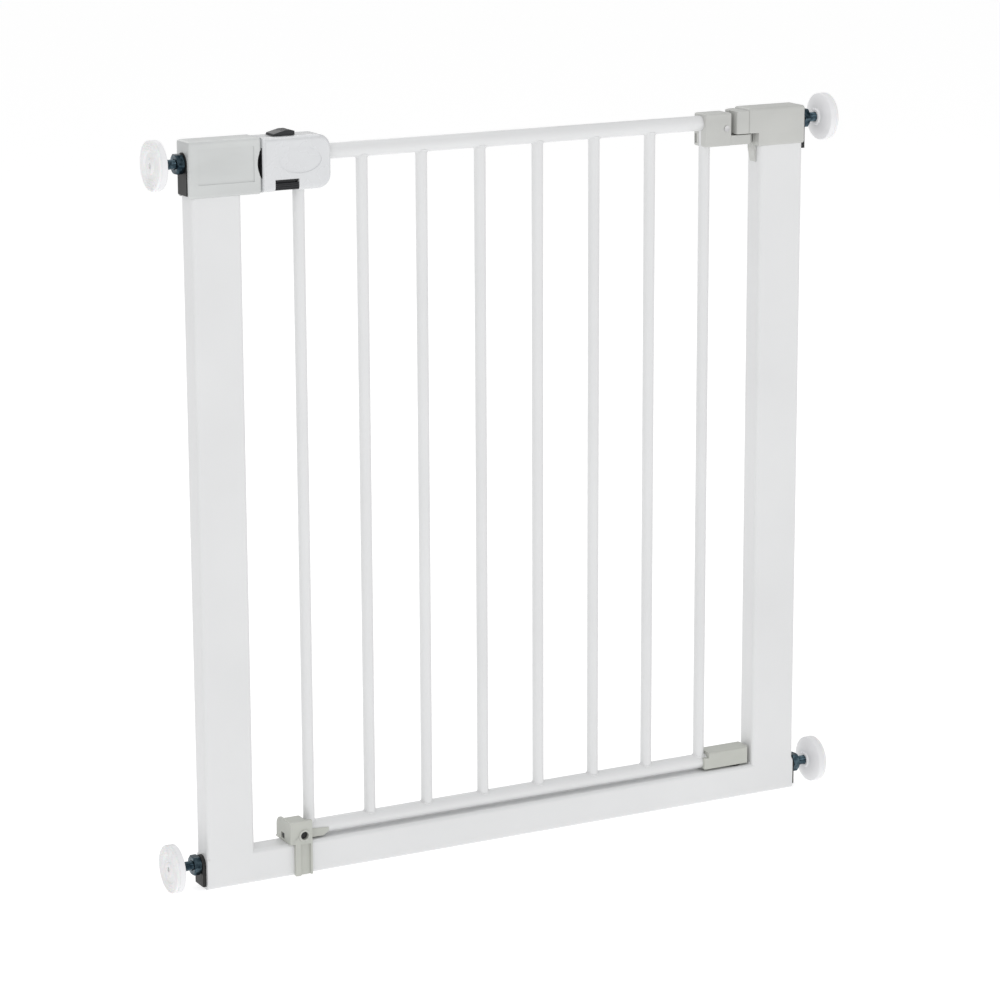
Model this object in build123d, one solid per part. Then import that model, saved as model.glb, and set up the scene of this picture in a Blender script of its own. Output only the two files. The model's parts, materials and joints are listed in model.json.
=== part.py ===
"""Pressure-mounted safety gate: a steel U-frame, a swinging barred door, and four threaded wall pads.

Frame of reference: +X runs along the gate towards the hinge side, +Y is the side the door opens to,
+Z is up. The origin is the middle of the bottom rail's underside. All sizes are in millimetres.
"""
import os
from build123d import *

# ---- U-frame ----
HALF_WIDTH = 353.0        # origin to a post's outer face
POST_WIDTH = 53.0
FRAME_DEPTH = 27.0
RAIL_HEIGHT = 35.0
TUBE_WALL = 1.5
TUBE_CORNER = 4.0
POST_TOP = 758.0
GAP = 0.1                 # play between two fixed pieces
SLIP = 0.3                # play between two pieces that move past each other
RUNNING = 0.06            # radial play of a pin in its bearing

# ---- door grille ----
HINGE_X = 282.0
BAR_COUNT = 8
BAR_PITCH = 66.8
FIRST_BAR_X = -232.4
SECOND_BAR_X = -162.2
BAR_RADIUS = 6.0
DOOR_RAIL_RADIUS = 8.0
DOOR_TUBE_WALL = 1.0
TOP_RAIL_Z = 747.5
LOW_RAIL_Z = 45.0
TOP_RAIL_X = (-237.0, 250.0)
LOW_RAIL_X = (-254.0, 252.0)

# ---- catch housing on the left post ----
CATCH_X = (-356.0, -278.5)
CATCH_Z = (712.0, 768.0)
CATCH_HALF_DEPTH = 15.8
SHELL_WALL = 3.0
CATCH_ROUND = 3.0
NOTCH_HEIGHT = 30.0       # crescent notch that faces the handle
NOTCH_DEPTH = 4.5
NOTCH_Z = 742.0
KEEPER_X = (-291.5, -279.1)
KEEPER_HALF_DEPTH = 9.0
KEEPER_Z = (724.0, 760.0)

# ---- handle ----
HANDLE_X = (-277.5, -202.7)
HANDLE_Z = (713.0, 767.0)
HANDLE_HALF_DEPTH = 16.3
HANDLE_END_RADIUS = 14.0
HANDLE_ROUND = 4.5
BEZEL_X = (-277.5, -270.5)
BEZEL_HALF_DEPTH = 13.5
BEZEL_Z = (727.0, 757.0)
BOLT_HALF_DEPTH = 4.3
BOLT_Z = (735.5, 748.5)
BOLT_X = (-277.0, -246.0)
LOCK_TRAVEL = 5.0
STEM_X = (-256.0, -248.0)
STEM_HALF_DEPTH = 3.7
BUTTON_X = (-263.0, -239.5)
BUTTON_HALF_DEPTH = 9.0
BUTTON_LOW = 769.3
BUTTON_HIGH = 772.5
TRIGGER_X = (-264.0, -238.7)
TRIGGER_Z = (714.2, 721.5)
TRIGGER_TRAVEL = 3.0
TRIGGER_STEM_Y = (-12.6, -5.0)
TRIGGER_STEM_Z = 730.0
SPRING_SEAT_Z = 738.0
SPRING_RADIUS = 2.6
SPRING_WIRE = 0.35
SPRING_TURNS = 5
SPRING_XY = (-251.3, -9.5)

# ---- upper hinge ----
HOUSING_X = (284.2, 354.5)
HOUSING_Z = (720.6, 761.0)
HOUSING_HALF_DEPTH = 15.8
HOUSING_NOTCH_X = 296.5   # the lower left corner stops here, clear of the lip
KNUCKLE_RADIUS = 15.4
KNUCKLE_FRONT_X = 269.8    # the front half is square up to here, the back half round
TAIL_HALF_DEPTH = 9.5
TONGUE_HALF_DEPTH = 5.5
KNUCKLE_Z = (735.0, 758.8)
BLOCK_END_X = 299.7
TONGUE_LOW_Z = 703.0
BRACKET_X = (233.0, 265.0)
BRACKET_Z = (723.0, 757.8)
BRACKET_HALF_DEPTH = 12.5
LIP_RADIUS = 13.0
LIP_HALF_DEPTH = 11.5
LIP_TOP_Z = 733.5
PIN_RADIUS = 4.0
RIVET_X = 258.5
RIVET_Z = 741.5
RIVET_RADIUS = 1.6

# ---- lower hinge ----
FOOT_BRACKET_X = (240.0, 298.0)
FOOT_BRACKET_Z = (37.0, 56.0)
FOOT_BRACKET_HALF_DEPTH = 11.5
FOOT_BRACKET_END_RADIUS = 17.0
HINGE_BUSH_RADIUS = 7.0
HINGE_BUSH_FLANGE = 9.0
HINGE_BUSH_Z = (17.0, 36.2)

# ---- bottom stop and door foot ----
STOP_X = (-262.0, -237.0)
STOP_Y = (-18.0, 19.0)
STOP_TOP = 59.0
STOP_FLOOR = 36.4
STOP_WALL = 2.5
STOP_SCREW_X = -250.0
STOP_SCREW_Z = 22.0
RING_X = -246.0
RING_Z = 43.5
RING_RADIUS = 6.3
FOOT_X = (-258.3, -239.0)
FOOT_Z = (37.0, 57.0)
FOOT_HALF_DEPTH = 9.5
FOOT_TONGUE_X = -214.0

# ---- wall spindles ----
TOP_SPINDLE_Z = 745.5
LOW_SPINDLE_Z = 25.5
WALL_FACE = 391.0         # origin to a pad's outer face
PAD_RADIUS = 25.0
PAD_RUBBER = 3.5
PAD_RIM = 9.5
PAD_LENGTH = 15.0
HUB_RADIUS = 10.5
PAD_HOLE_RADIUS = 2.8
SPINDLE_RADIUS = 5.0
SPINDLE_OUTER = 384.0
SPINDLE_INNER = 315.0
NUT_FLATS = 19.0
NUT_X = (357.3, 365.3)
BUSH_FLANGE_X = 357.0
BUSH_INNER_X = 336.0
TOP_BUSH_RADIUS = 9.5
LOW_BUSH_RADIUS = 7.6
TOP_FLANGE_HALF_DEPTH = 11.0
TOP_FLANGE_LOW = 714.5
LOW_FLANGE_HALF_DEPTH = 10.0
LOW_FLANGE_LOW = 3.5

# ---- screws ----
SCREW_RADIUS = 1.4
SCREW_HEAD_RADIUS = 3.0
SCREW_HEAD = 2.0
BOSS_RADIUS = 3.8
SCREW_TIP_Y = -9.0
CATCH_SCREWS = ((-295.8, 722.0), (-295.8, 760.0))
HOUSING_SCREWS = ((292.3, 741.5), (292.3, 753.5))
HANDLE_SCREWS = ((-214.0, 728.0), (-215.0, 759.6), (-233.0, 759.6))

FAR = 60.0                # reach of a cutting block past what it cuts


# ---- small helpers ----
def block(x, y, z):
    """Box between pairs of limits."""
    size = [b - a for a, b in (x, y, z)]
    middle = [(a + b) / 2 for a, b in (x, y, z)]
    return Pos(*middle) * Box(*size)


def around(value):
    return (-value, value)


def with_play(limits):
    """Limits of a pocket that holds a fixed piece."""
    return (limits[0] - GAP, limits[1] + GAP)


def rod_x(x, y, z, radius):
    return Pos((x[0] + x[1]) / 2, y, z) * Rot(0, 90, 0) * Cylinder(radius, x[1] - x[0])


def rod_y(x, y, z, radius):
    return Pos(x, (y[0] + y[1]) / 2, z) * Rot(90, 0, 0) * Cylinder(radius, y[1] - y[0])


def rod_z(x, y, z, radius):
    return Pos(x, y, (z[0] + z[1]) / 2) * Cylinder(radius, z[1] - z[0])


def rounded_block(x, y, z, radius):
    body = block(x, y, z)
    return fillet(body.edges(), radius)


def plate_xz(points, y):
    """Prism with an outline of (x, z) points, between two y limits."""
    outline = Plane.XZ.offset(-y[1]) * make_face(Polyline(*points, close=True))
    return extrude(outline, amount=y[1] - y[0])


def front_half(body):
    return body & block(around(500), (-FAR, 0), (-FAR, 900))


def back_half(body):
    return body & block(around(500), (0, FAR), (-FAR, 900))


def mirrored(body):
    return mirror(body, about=Plane.YZ)


def save(name, body):
    body.label = name
    export_step(body, f"parts/{name}.step")


# ---- U-frame ----
def rail_outline():
    return Pos(0, RAIL_HEIGHT / 2) * RectangleRounded(FRAME_DEPTH, RAIL_HEIGHT, TUBE_CORNER)


def rail_bore():
    size = (FRAME_DEPTH - 2 * TUBE_WALL, RAIL_HEIGHT - 2 * TUBE_WALL)
    return Pos(0, RAIL_HEIGHT / 2) * RectangleRounded(*size, TUBE_CORNER - TUBE_WALL)


def bottom_rail():
    """Rail with a wall at each end, bored for the lower spindles' bushes."""
    start = Plane.YZ.offset(-HALF_WIDTH)
    solid = extrude(start * rail_outline(), amount=2 * HALF_WIDTH)
    inside = HALF_WIDTH - TUBE_WALL
    tube = solid - extrude(Plane.YZ.offset(-inside) * rail_bore(), amount=2 * inside)
    tube = tube - rod_x(around(HALF_WIDTH + 1), 0, LOW_SPINDLE_Z, LOW_BUSH_RADIUS + GAP)
    bush_hole = rod_z(HINGE_X, 0, (RAIL_HEIGHT / 2, RAIL_HEIGHT + 1), HINGE_BUSH_RADIUS + GAP)
    screw_hole = rod_y(STOP_SCREW_X, (0, FRAME_DEPTH), STOP_SCREW_Z, SCREW_RADIUS + GAP / 2)
    return tube - bush_hole - screw_hole


def right_post():
    """Post with its lower end coped over the rail's rounded top corners."""
    low = RAIL_HEIGHT - TUBE_CORNER
    start = Plane.XY.offset(low) * Pos(HALF_WIDTH - POST_WIDTH / 2, 0)
    outer = RectangleRounded(POST_WIDTH, FRAME_DEPTH, TUBE_CORNER)
    size = (POST_WIDTH - 2 * TUBE_WALL, FRAME_DEPTH - 2 * TUBE_WALL)
    inner = RectangleRounded(*size, TUBE_CORNER - TUBE_WALL)
    tube = extrude(start * (outer - inner), amount=POST_TOP - low)
    rail = extrude(Plane.YZ * rail_outline(), amount=HALF_WIDTH + FAR)
    hole = rod_x((HALF_WIDTH - POST_WIDTH / 2, HALF_WIDTH + 1), 0, TOP_SPINDLE_Z, TOP_BUSH_RADIUS + GAP)
    return tube - rail - hole


# ---- shells and their screws ----
def boss(x, z, y, wall):
    """Screw boss inside a shell, one solid cylinder that runs into the shell's wall."""
    return rod_y(x, (min(y, wall), max(y, wall)), z, BOSS_RADIUS)


def add_bosses(shell, screws, wall_y):
    for x, z in screws:
        shell = shell + boss(x, z, 0, wall_y)
    return shell


def drill(shell, screws, half_depth):
    for x, z in screws:
        shell = shell - rod_y(x, (SCREW_TIP_Y - 1, half_depth + 1), z, SCREW_RADIUS + GAP / 2)
        sink = (half_depth - SCREW_HEAD - GAP, half_depth + 1)
        shell = shell - rod_y(x, sink, z, SCREW_HEAD_RADIUS + SLIP)
    return shell


def screw(x, z, half_depth):
    """Pan-head screw driven from the back, with a cross recess."""
    head = rod_y(x, (half_depth - SCREW_HEAD, half_depth - SLIP), z, SCREW_HEAD_RADIUS)
    shank = rod_y(x, (SCREW_TIP_Y, half_depth - SCREW_HEAD), z, SCREW_RADIUS)
    slot_y = (half_depth - SLIP - 1.0, half_depth)
    cross = block((x - 1.8, x + 1.8), slot_y, (z - 0.4, z + 0.4))
    cross = cross + block((x - 0.4, x + 0.4), slot_y, (z - 1.8, z + 1.8))
    return head + shank - cross


def screw_set(screws, half_depth):
    return Compound([screw(x, z, half_depth) for x, z in screws])


# ---- catch housing ----
def notch_cutter(half_depth):
    """Cylinder whose edge cuts the crescent notch into the catch's right-hand face."""
    chord = NOTCH_HEIGHT / 2
    radius = (chord ** 2 + NOTCH_DEPTH ** 2) / (2 * NOTCH_DEPTH)
    return rod_y(CATCH_X[1] - NOTCH_DEPTH + radius, around(half_depth), NOTCH_Z, radius)


def flange_solid(x, z, low, half_depth):
    """Upright plate with a round top centred on a spindle."""
    return block(x, around(half_depth), (low, z)) + rod_x(x, 0, z, half_depth)


def post_space(x_sign):
    near = HALF_WIDTH - POST_WIDTH - GAP
    far = HALF_WIDTH + GAP
    x = (near, far) if x_sign > 0 else (-far, -near)
    return block(x, around(FRAME_DEPTH / 2 + GAP), (-FAR, POST_TOP + GAP))


def bush_window(x_sign):
    """Opening in a housing's outer wall for the bush's flange, open at the bottom."""
    x = (HALF_WIDTH - 1, HALF_WIDTH + FAR)
    window = flange_solid(x, TOP_SPINDLE_Z, 600, TOP_FLANGE_HALF_DEPTH + GAP)
    return window if x_sign > 0 else mirrored(window)


def catch_body():
    body = rounded_block(CATCH_X, around(CATCH_HALF_DEPTH), CATCH_Z, CATCH_ROUND)
    inset = CATCH_HALF_DEPTH - 0.8
    panel_x = (CATCH_X[0] + 10, CATCH_X[1] - 8)
    panel_z = (CATCH_Z[0] + 13, CATCH_Z[1] - 8)
    for y in ((-FAR, -inset), (inset, FAR)):
        body = body - block(panel_x, y, panel_z)
    body = body - block((CATCH_X[1] - 2.5, CATCH_X[1] - 1.3), (-FAR, -inset), CATCH_Z)
    body = body - post_space(-1) - bush_window(-1)
    cavity_z = (CATCH_Z[0] + SHELL_WALL, CATCH_Z[1] - SHELL_WALL)
    cavity_x = (-HALF_WIDTH + POST_WIDTH + SHELL_WALL, KEEPER_X[0])
    body = body - block(cavity_x, around(CATCH_HALF_DEPTH - SHELL_WALL), cavity_z)
    keeper_x = (KEEPER_X[0] - GAP, CATCH_X[1] + 1)
    body = body - block(keeper_x, around(KEEPER_HALF_DEPTH + GAP), with_play(KEEPER_Z))
    return body - notch_cutter(FAR)


def catch_shell(half, side):
    wall_y = side * (CATCH_HALF_DEPTH - 1)
    shell = add_bosses(half(catch_body()), CATCH_SCREWS, wall_y)
    return drill(shell, CATCH_SCREWS, CATCH_HALF_DEPTH)


def catch_keeper():
    body = block(KEEPER_X, around(KEEPER_HALF_DEPTH), KEEPER_Z)
    slot_z = (BOLT_Z[0] - 2 * SLIP, BOLT_Z[1] + 2 * SLIP)
    return body - block((KEEPER_X[0] + 3, CATCH_X[1]), around(BOLT_HALF_DEPTH + 2 * SLIP), slot_z)


# ---- handle ----
def handle_outline(inset):
    x0, x1 = HANDLE_X[0] + inset, HANDLE_X[1] - inset
    z0, z1 = HANDLE_Z[0] + inset, HANDLE_Z[1] - inset
    left = Pos((x0 + x1) / 2, (z0 + z1) / 2) * Rectangle(x1 - x0, z1 - z0)
    right = left.vertices().group_by(Axis.X)[-1]
    return fillet(right, HANDLE_END_RADIUS - inset)


def handle_solid(inset, half_depth):
    outline = Plane.XZ.offset(-half_depth) * handle_outline(inset)
    return extrude(outline, amount=2 * half_depth)


def handle_body():
    body = handle_solid(0, HANDLE_HALF_DEPTH)
    rims = body.edges().filter_by(lambda e: abs(abs(e.center().Y) - HANDLE_HALF_DEPTH) < 0.01)
    body = fillet(rims, HANDLE_ROUND)
    badge = Plane.XZ.offset(HANDLE_HALF_DEPTH - 0.6) * Pos(-237, 743) * Ellipse(23, 13)
    body = body - extrude(badge, amount=5)
    cavity = handle_solid(SHELL_WALL, HANDLE_HALF_DEPTH - SHELL_WALL)
    body = body - (cavity - block((HANDLE_X[0], BEZEL_X[1]), around(FAR), HANDLE_Z))
    bezel_y = around(BEZEL_HALF_DEPTH + GAP)
    body = body - block((HANDLE_X[0] - 1, BEZEL_X[1] + GAP), bezel_y, with_play(BEZEL_Z))
    body = body - rod_x((TOP_RAIL_X[0], 0), 0, TOP_RAIL_Z, DOOR_RAIL_RADIUS + GAP)
    body = body - rod_z(FIRST_BAR_X, 0, (700, TOP_RAIL_Z), BAR_RADIUS + GAP)
    slot_x = (STEM_X[0] - LOCK_TRAVEL - 2 * SLIP, STEM_X[1] + 2 * SLIP)
    return body - block(slot_x, around(STEM_HALF_DEPTH + SLIP), (760, 780))


def handle_shell(half, side):
    wall_y = side * (HANDLE_HALF_DEPTH - 1)
    shell = add_bosses(half(handle_body()), HANDLE_SCREWS, wall_y)
    return drill(shell, HANDLE_SCREWS, HANDLE_HALF_DEPTH)


def handle_front():
    shell = handle_shell(front_half, -1)
    window_x = (TRIGGER_X[0] - SLIP, TRIGGER_X[1] + SLIP)
    shell = shell - block(window_x, (-FAR, 0), (600, TRIGGER_Z[1] + TRIGGER_TRAVEL + SLIP))
    seat_x = (SPRING_XY[0] - 5, SPRING_XY[0] + 5)
    seat_y = (-HANDLE_HALF_DEPTH + 1, SPRING_XY[1] + 4)
    return shell + block(seat_x, seat_y, (SPRING_SEAT_Z, SPRING_SEAT_Z + 2))


def bolt_guide():
    body = block(BEZEL_X, around(BEZEL_HALF_DEPTH), BEZEL_Z)
    slot_z = (BOLT_Z[0] - SLIP, BOLT_Z[1] + SLIP)
    return body - block((-FAR * 5, 0), around(BOLT_HALF_DEPTH + SLIP), slot_z)


def lock_bolt():
    body = block(BOLT_X, around(BOLT_HALF_DEPTH), BOLT_Z)
    nose = body.edges().filter_by(Axis.Z).group_by(Axis.X)[0]
    return chamfer(nose, 1.2)


def lock_slider():
    """Thumb button: a wedge with grip ribs on a stem that drives the bolt."""
    low = HANDLE_Z[1] + SLIP
    outline = (
        (BUTTON_X[0], low),
        (BUTTON_X[1], low),
        (BUTTON_X[1], BUTTON_HIGH - 1.2),
        (BUTTON_X[1] - 4.0, BUTTON_HIGH),
        (BUTTON_X[1] - 10.0, BUTTON_HIGH),
        (BUTTON_X[0] + 1.0, BUTTON_LOW),
    )
    wedge = plate_xz(outline, around(BUTTON_HALF_DEPTH))
    for step in range(4):
        x = BUTTON_X[1] - 5.0 - 2.2 * step
        wedge = wedge - block((x - 0.9, x), around(BUTTON_HALF_DEPTH - 1.5), (BUTTON_HIGH - 0.7, 780))
    stem = block(STEM_X, around(STEM_HALF_DEPTH), (BOLT_Z[1], low + 0.5))
    return wedge + stem


def trigger():
    face = block(TRIGGER_X, (-HANDLE_HALF_DEPTH + 0.2, -4.0), TRIGGER_Z)
    front = face.edges().filter_by(Axis.X).group_by(Axis.Y)[0]
    face = fillet(front, 1.5)
    stem_x = (TRIGGER_X[0] + 2, TRIGGER_X[1] - 2)
    return face + block(stem_x, TRIGGER_STEM_Y, (TRIGGER_Z[0] + 4, TRIGGER_STEM_Z))


def trigger_spring():
    height = SPRING_SEAT_Z - TRIGGER_STEM_Z - 2 * SPRING_WIRE - 0.1
    path = Helix(height / SPRING_TURNS, height, SPRING_RADIUS)
    profile = Plane(path @ 0, z_dir=path % 0) * Circle(SPRING_WIRE)
    coil = sweep(profile, path=path)
    return Pos(SPRING_XY[0], SPRING_XY[1], TRIGGER_STEM_Z + SPRING_WIRE + 0.05) * coil


def detent_spring():
    """Leaf spring under the bolt; its hump holds the bolt at either end of its travel."""
    low = BOLT_Z[0] - 3.5
    top = BOLT_Z[0] - SLIP
    centre = STEM_X[1] - 1.2
    upper = ((10, low + 0.5), (6.2, low + 0.5), (2.2, top), (-2.2, top), (-6.2, low + 0.5), (-10, low + 0.5))
    lower = ((-10, low), (-6, low), (-2, top - 0.5), (2, top - 0.5), (6, low), (10, low))
    return plate_xz([(centre + x, z) for x, z in lower + upper], around(3.0))


# ---- door grille ----
def door_rail(x, z):
    solid = rod_x(x, 0, z, DOOR_RAIL_RADIUS)
    return solid - rod_x((x[0] - 1, x[1] + 1), 0, z, DOOR_RAIL_RADIUS - DOOR_TUBE_WALL)


def bar_x(index):
    """The first bar stands a little apart, under the handle; the rest are evenly spaced."""
    return FIRST_BAR_X if index == 0 else SECOND_BAR_X + (index - 1) * BAR_PITCH


def bar(index):
    """Bar tube, coped at both ends to sit on the round door rails."""
    x = bar_x(index)
    tube = rod_z(x, 0, (LOW_RAIL_Z, TOP_RAIL_Z), BAR_RADIUS)
    tube = tube - rod_z(x, 0, (LOW_RAIL_Z, TOP_RAIL_Z), BAR_RADIUS - DOOR_TUBE_WALL)
    for z in (LOW_RAIL_Z, TOP_RAIL_Z):
        tube = tube - rod_x((x - FAR, x + FAR), 0, z, DOOR_RAIL_RADIUS + 0.02)
    return tube


# ---- upper hinge ----
def housing_body():
    body = rounded_block(HOUSING_X, around(HOUSING_HALF_DEPTH), HOUSING_Z, CATCH_ROUND)
    body = body - post_space(1) - bush_window(1)
    block_x = (HINGE_X, HALF_WIDTH - POST_WIDTH)
    body = body - block(block_x, around(TAIL_HALF_DEPTH + GAP), with_play(KNUCKLE_Z))
    tongue_x = (HALF_WIDTH - POST_WIDTH - 4.6, HALF_WIDTH - POST_WIDTH)
    body = body - block(tongue_x, around(TONGUE_HALF_DEPTH + GAP), (600, KNUCKLE_Z[0]))
    notch_top = KNUCKLE_Z[0]
    body = body - block((0, HOUSING_NOTCH_X), around(FAR), (600, notch_top))
    cavity_y = around(HOUSING_HALF_DEPTH - SHELL_WALL)
    far_x = HALF_WIDTH - POST_WIDTH
    top = HOUSING_Z[1] - 2
    return body - block((HOUSING_X[0] + SHELL_WALL, far_x), cavity_y, (notch_top + SHELL_WALL, top))


def housing_shell(half, side):
    wall_y = side * (HOUSING_HALF_DEPTH - 1)
    shell = half(housing_body())
    for x, z in HOUSING_SCREWS:
        shell = shell + boss(x, z, side * (TAIL_HALF_DEPTH + GAP), wall_y)
    return drill(shell, HOUSING_SCREWS, HOUSING_HALF_DEPTH)


def hinge_block():
    """Fixed knuckle with the upper bearing, its tail between the shells and a tongue down the post."""
    knuckle_end = HOUSING_X[0] - GAP
    back = rod_z(HINGE_X, 0, KNUCKLE_Z, KNUCKLE_RADIUS) & block((0, knuckle_end), (0, FAR), KNUCKLE_Z)
    front = block((KNUCKLE_FRONT_X, knuckle_end), (-KNUCKLE_RADIUS, 0), KNUCKLE_Z)
    corner = front.edges().filter_by(Axis.Z).group_by(Axis.X)[0].sort_by(Axis.Y)[0]
    knuckle = fillet(corner, 2) + back
    tail = block((HINGE_X, BLOCK_END_X), around(TAIL_HALF_DEPTH), KNUCKLE_Z)
    tongue = plate_xz(
        (
            (BLOCK_END_X, KNUCKLE_Z[0] + 1),
            (BLOCK_END_X - 4, KNUCKLE_Z[0] + 1),
            (BLOCK_END_X - 4, TONGUE_LOW_Z + 14),
            (BLOCK_END_X - 0.8, TONGUE_LOW_Z),
            (BLOCK_END_X, TONGUE_LOW_Z),
        ),
        around(TONGUE_HALF_DEPTH),
    )
    body = knuckle + tail + tongue
    bore_z = (KNUCKLE_Z[0] - 1, KNUCKLE_Z[1] - 4)
    body = body - rod_z(HINGE_X, 0, bore_z, PIN_RADIUS + RUNNING)
    for x, z in HOUSING_SCREWS:
        body = body - rod_y(x, around(FAR), z, SCREW_RADIUS + SLIP)
    return body


def upper_bracket():
    """Door bracket that grips the top rail and the last bar, with a lip under the fixed knuckle."""
    body = rounded_block(BRACKET_X, around(BRACKET_HALF_DEPTH), BRACKET_Z, 2.0)
    lip_z = (BRACKET_Z[0] + 0.4, LIP_TOP_Z)
    lip = rod_z(HINGE_X, 0, lip_z, LIP_RADIUS) + block((BRACKET_X[1] - 6, HINGE_X), around(LIP_RADIUS), lip_z)
    lip = lip & block((BRACKET_X[1] - 6, 400), around(LIP_HALF_DEPTH), lip_z)
    body = body + lip
    body = body - rod_x((BRACKET_X[0] - 1, TOP_RAIL_X[1] + GAP), 0, TOP_RAIL_Z, DOOR_RAIL_RADIUS + GAP)
    body = body - rod_z(bar_x(BAR_COUNT - 1), 0, (BRACKET_Z[0] - 1, TOP_RAIL_Z), BAR_RADIUS + GAP)
    slot = block((BRACKET_X[0] - 1, BRACKET_X[0] + 4), (6.5, 10.5), (726, 736))
    pin_hole = rod_z(HINGE_X, 0, (BRACKET_Z[0] - 1, LIP_TOP_Z + 1), PIN_RADIUS + GAP / 2)
    rivet = rod_y(RIVET_X, around(FAR), RIVET_Z, RIVET_RADIUS + GAP / 2)
    return body - slot - pin_hole - rivet


def bracket_rivet():
    reach = BRACKET_HALF_DEPTH + GAP
    rivet = rod_y(RIVET_X, around(reach), RIVET_Z, RIVET_RADIUS)
    for y in ((-reach - 0.8, -reach), (reach, reach + 0.8)):
        rivet = rivet + rod_y(RIVET_X, y, RIVET_Z, 2 * RIVET_RADIUS)
    return rivet


def upper_pin():
    pin = rod_z(HINGE_X, 0, (BRACKET_Z[0] + 0.6, KNUCKLE_Z[1] - 5), PIN_RADIUS)
    return chamfer(pin.edges().group_by(Axis.Z)[-1], 0.8)


# ---- lower hinge ----
def lower_bracket():
    y = around(FOOT_BRACKET_HALF_DEPTH)
    body = rounded_block(FOOT_BRACKET_X, y, FOOT_BRACKET_Z, 2.0)
    swept = rod_z(HINGE_X, 0, (0, 100), FOOT_BRACKET_END_RADIUS)
    body = body & (swept + block((0, HINGE_X), (-FAR, FAR), (0, 100)))
    body = body - rod_x((0, LOW_RAIL_X[1] + GAP), 0, LOW_RAIL_Z, DOOR_RAIL_RADIUS + GAP)
    bar_side = bar_x(BAR_COUNT - 1) + BAR_RADIUS
    body = body - block((0, bar_side + 1), (-FAR, FAR), (LOW_RAIL_Z + 5, FAR * 2))
    return body - rod_z(HINGE_X, 0, (0, LOW_RAIL_Z + 6), PIN_RADIUS + GAP / 2)


def lower_pin():
    pin = rod_z(HINGE_X, 0, (HINGE_BUSH_Z[0] + 3, LOW_RAIL_Z + 5.5), PIN_RADIUS)
    return chamfer(pin.edges().group_by(Axis.Z)[0], 0.8)


def lower_bush():
    body = rod_z(HINGE_X, 0, HINGE_BUSH_Z, HINGE_BUSH_RADIUS)
    body = body + rod_z(HINGE_X, 0, (RAIL_HEIGHT, HINGE_BUSH_Z[1]), HINGE_BUSH_FLANGE)
    return body - rod_z(HINGE_X, 0, (HINGE_BUSH_Z[0] + 2, FAR), PIN_RADIUS + RUNNING)


# ---- bottom stop ----
def bottom_stop():
    """Saddle on the bottom rail: a front cheek the door closes against, open at the back."""
    front_y = (STOP_Y[0], -FRAME_DEPTH / 2 - GAP)
    back_y = (FRAME_DEPTH / 2 + GAP, STOP_Y[1])
    cheek = block(STOP_X, front_y, (RAIL_HEIGHT + GAP, STOP_TOP))
    leg = block((STOP_X[0] + 6, STOP_X[1]), front_y, (0.5, RAIL_HEIGHT + 1))
    leg = leg - block((STOP_X[0] + 12, STOP_X[1] - 2), (-FAR, STOP_Y[0] + 2.4), (-1, RAIL_HEIGHT - 1))
    floor = block(STOP_X, (STOP_Y[0] + 1, STOP_Y[1]), (RAIL_HEIGHT + GAP, STOP_FLOOR))
    side_x = (STOP_X[0], STOP_X[0] + STOP_WALL)
    side = block(side_x, (STOP_Y[0], STOP_Y[1] - 2.5), (RAIL_HEIGHT + GAP, STOP_TOP))
    top_back = side.edges().filter_by(Axis.X).sort_by(Axis.Z)[-2:].sort_by(Axis.Y)[-1]
    side = fillet(top_back, 10)
    back_leg = block((STOP_X[0] + 6, STOP_X[1]), back_y, (12, STOP_FLOOR))
    ring = rod_y(RING_X, (STOP_Y[0] - 1.2, STOP_Y[0] + 1), RING_Z, RING_RADIUS)
    body = cheek + leg + floor + side + back_leg + ring
    body = body - rod_y(RING_X, (-FAR, 0), RING_Z, RING_RADIUS - 2)
    body = body - block((STOP_X[0] - 1, side_x[1] + 1), (-3, 5), (RAIL_HEIGHT + 3, RAIL_HEIGHT + 9))
    body = body - rod_y(STOP_SCREW_X, (0, FAR), STOP_SCREW_Z, SCREW_RADIUS + GAP)
    return body


def stop_screw():
    head = rod_y(STOP_SCREW_X, (STOP_Y[1], STOP_Y[1] + SCREW_HEAD), STOP_SCREW_Z, SCREW_HEAD_RADIUS)
    return head + rod_y(STOP_SCREW_X, (FRAME_DEPTH / 2 - 7, STOP_Y[1]), STOP_SCREW_Z, SCREW_RADIUS)


def door_foot():
    """Plastic cap on the door's lower free corner, with a tapered tongue under the rail."""
    cap = rounded_block(FOOT_X, around(FOOT_HALF_DEPTH), FOOT_Z, 2.0)
    tongue = plate_xz(
        (
            (FOOT_X[1] - 5, FOOT_Z[0]),
            (FOOT_TONGUE_X - 6, FOOT_Z[0]),
            (FOOT_TONGUE_X, LOW_RAIL_Z - 4),
            (FOOT_TONGUE_X, LOW_RAIL_Z),
            (FOOT_X[1] - 5, LOW_RAIL_Z + 2),
        ),
        around(FOOT_HALF_DEPTH - 0.5),
    )
    return cap + tongue - rod_x((LOW_RAIL_X[0], 0), 0, LOW_RAIL_Z, DOOR_RAIL_RADIUS + GAP)


# ---- wall spindles, drawn on the right-hand side ----
def turned(points, z):
    """Body turned about a spindle axis; points are (x, radius)."""
    outline = make_face(Polyline(*points, close=True))
    return Pos(0, 0, z) * revolve(Plane.XZ * outline, axis=Axis.X)


def spindle_rod(z):
    rod = rod_x((SPINDLE_INNER, SPINDLE_OUTER), 0, z, SPINDLE_RADIUS)
    return chamfer(rod.edges().group_by(Axis.X)[0], 1.0)


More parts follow.
